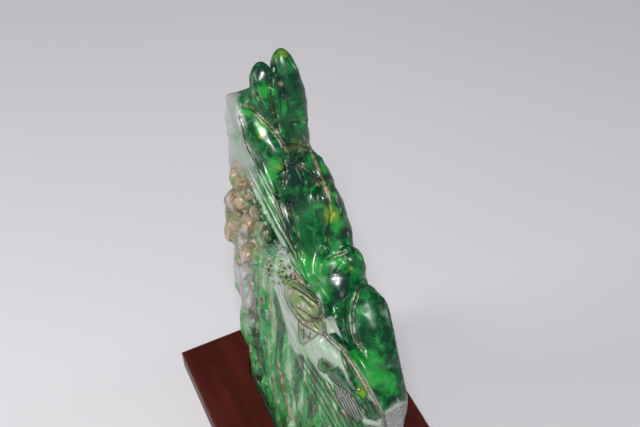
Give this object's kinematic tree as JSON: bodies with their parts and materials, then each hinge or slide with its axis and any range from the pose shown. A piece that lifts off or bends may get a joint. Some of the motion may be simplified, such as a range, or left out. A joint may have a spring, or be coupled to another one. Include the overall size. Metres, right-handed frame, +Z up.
{
  "type": "jade mountain carving",
  "caption": "Thin mountain-shaped green stone carving with crags and relief, lifting out of a low dark hardwood stand.",
  "frame": {"origin": "bottom centre of the stand, on the surface that its felt pads rest on", "axes": "+Z up, +X along the stone towards the low end of the mountain, -Y out of the carved relief side"},
  "size_m": [0.14, 0.082, 0.2109],
  "materials": {
    "jade": "polished",
    "rosewood": "satin oiled",
    "dowel_wood": "raw",
    "felt": "matte"
  },
  "bodies": {
    "stand": {"top_board": "rosewood", "socket_felt": "felt", "front_waist_rail": "rosewood", "back_waist_rail": "rosewood", "left_waist_rail": "rosewood", "right_waist_rail": "rosewood", "front_apron": "rosewood", "back_apron": "rosewood", "left_apron": "rosewood", "right_apron": "rosewood", "left_batten": "rosewood", "right_batten": "rosewood", "leg_dowels": "dowel_wood", "front_left_leg": "rosewood", "front_right_leg": "rosewood", "back_left_leg": "rosewood", "back_right_leg": "rosewood", "front_left_pad": "felt", "front_right_pad": "felt", "back_left_pad": "felt", "back_right_pad": "felt"},
    "carving": {"jade_mountain": "jade"}
  },
  "joints": [
    {"name": "jade_lift", "type": "slide", "parent": "stand", "child": "carving", "axis": [0, 0, 1], "range_m": [0, 0.04]}
  ]
}
